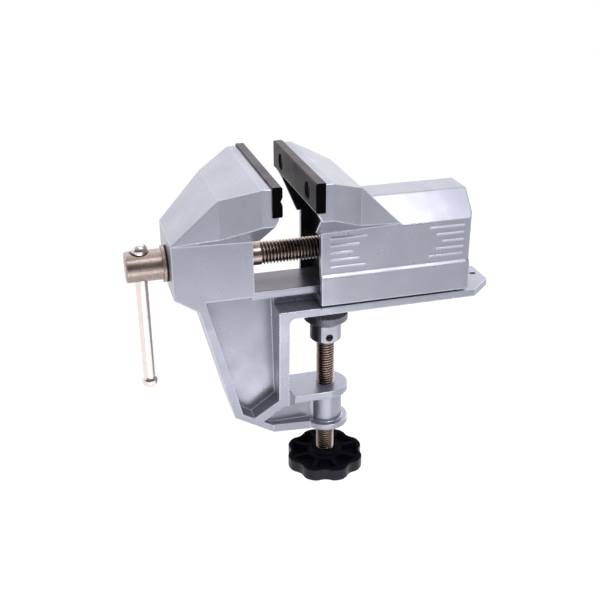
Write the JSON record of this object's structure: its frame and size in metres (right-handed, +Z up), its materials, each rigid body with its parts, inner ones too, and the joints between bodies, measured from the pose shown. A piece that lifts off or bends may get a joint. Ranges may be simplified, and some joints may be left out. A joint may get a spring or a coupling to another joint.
{
  "type": "clamp-on bench vise",
  "caption": "Small bench vise of cast aluminium that clamps on a table edge: steel-faced fixed and sliding jaws, a main screw with a tommy bar, and a clamp screw with a swivel pad.",
  "frame": {"origin": "on the axis of the clamp screw, in the face of the base plate that rests on the table top", "axes": "+X along the main screw, from its handle towards the back of the sliding jaw; +Y across the jaws; +Z up, away from the table"},
  "size_m": [0.1941, 0.08, 0.1817],
  "materials": {
    "cast_aluminium": "satin paint",
    "jaw_steel": "blackened",
    "black_screw": "black oxide",
    "plain_steel": "machined",
    "nickel_plate": "polished plating",
    "zinc_plate": "zinc plated",
    "bronze": "dull",
    "dark_fibre": "matt",
    "black_plastic": "moulded"
  },
  "bodies": {
    "frame": {"vise_frame": "cast_aluminium", "fixed_jaw_plate": "jaw_steel", "fixed_jaw_screw_near": "black_screw", "fixed_jaw_screw_far": "black_screw", "back_washer": "dark_fibre", "spindle_retaining_screw": "black_screw"},
    "spindle": {"main_screw": "nickel_plate", "thrust_washer": "bronze"},
    "sliding_jaw": {"movable_jaw": "cast_aluminium", "movable_jaw_plate": "jaw_steel", "movable_jaw_screw_near": "black_screw", "movable_jaw_screw_far": "black_screw", "screw_nut": "plain_steel", "nut_pin": "plain_steel"},
    "handle": {"tommy_bar": "nickel_plate", "tommy_bar_cap_upper": "nickel_plate", "tommy_bar_cap_lower": "nickel_plate"},
    "pad": {"swivel_pad": "zinc_plate", "pad_grub_screw": "black_screw"},
    "clamp": {"clamp_screw": "nickel_plate", "clamp_knob": "black_plastic"}
  },
  "joints": [
    {"name": "main_screw_spin", "type": "hinge", "parent": "frame", "child": "spindle", "pos_m": [-0.0635, 0, 0.0299], "axis": [-1, 0, 0], "range_deg": [-3180, 8280]},
    {"name": "jaw_slide", "type": "slide", "parent": "frame", "child": "sliding_jaw", "axis": [1, 0, 0], "range_m": [-0.01545, 0.0402]},
    {"name": "tommy_bar_slide", "type": "slide", "parent": "spindle", "child": "handle", "axis": [0, 0, 1], "range_m": [0, 0.0566]},
    {"name": "pad_lift", "type": "slide", "parent": "frame", "child": "pad", "axis": [0, 0, 1], "range_m": [-0.0262, 0.007]},
    {"name": "clamp_spin", "type": "hinge", "parent": "pad", "child": "clamp", "pos_m": [0, 0, -0.05], "axis": [0, 0, 1], "range_deg": [-6300, 1690]}
  ],
  "couplings": [
    {"joint": "main_screw_spin", "follows": "jaw_slide", "rad_per_m": 3590.4},
    {"joint": "clamp_spin", "follows": "pad_lift", "rad_per_m": 4188.8}
  ]
}
